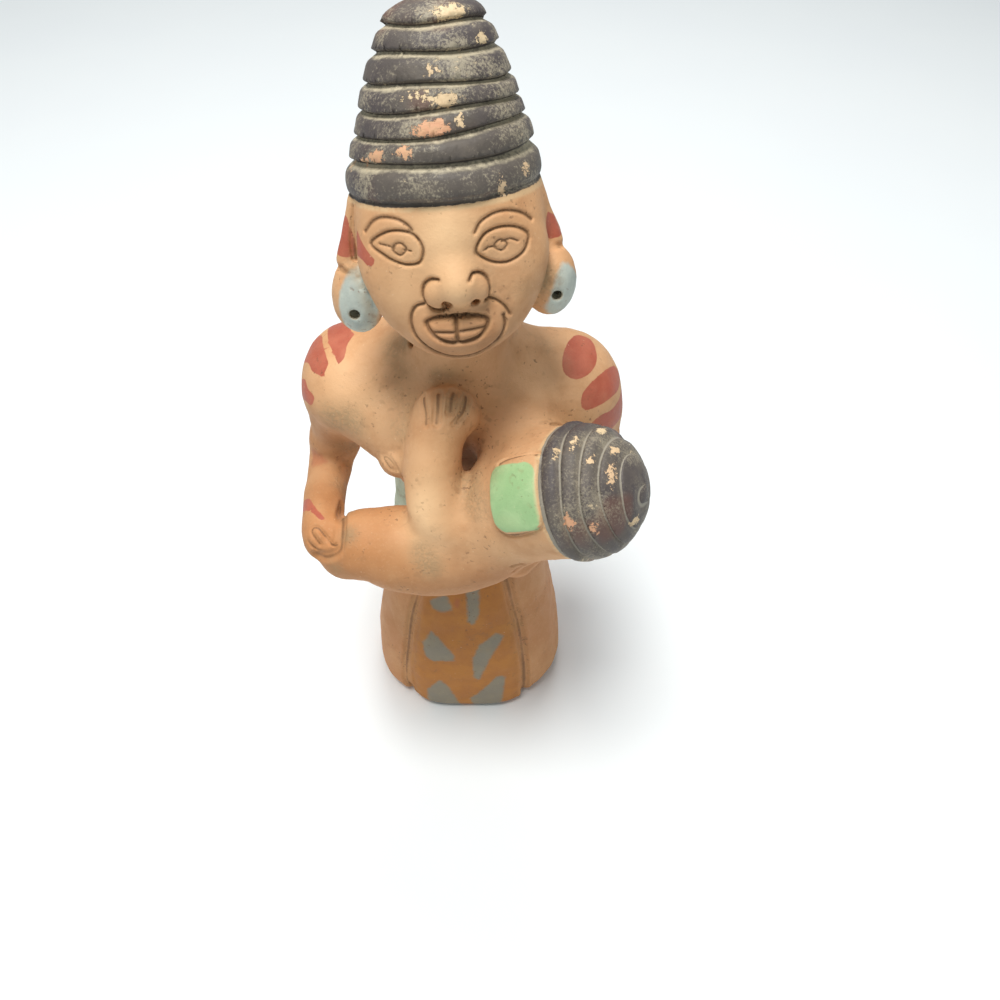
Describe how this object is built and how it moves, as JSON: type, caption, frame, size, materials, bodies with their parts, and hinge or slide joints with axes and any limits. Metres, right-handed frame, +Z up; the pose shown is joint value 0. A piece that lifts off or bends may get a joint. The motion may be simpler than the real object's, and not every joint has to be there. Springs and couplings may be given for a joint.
{
  "type": "mother and child statue",
  "caption": "Hand-modelled terracotta figure of a kneeling mother in a coiled headdress, holding a child across her lap, on a flat base.",
  "frame": {"origin": "on the ground, on the flat underside, below the middle of the mother's base", "axes": "+Z up along the figure, the mother faces -Y, her left side and the child's head are at +X"},
  "size_m": [0.0797, 0.0771, 0.1938],
  "materials": {
    "fired_clay": "matte unglazed, painted with earth colours and worn"
  },
  "bodies": {
    "root": {"mother_and_child": "fired_clay"}
  },
  "joints": []
}
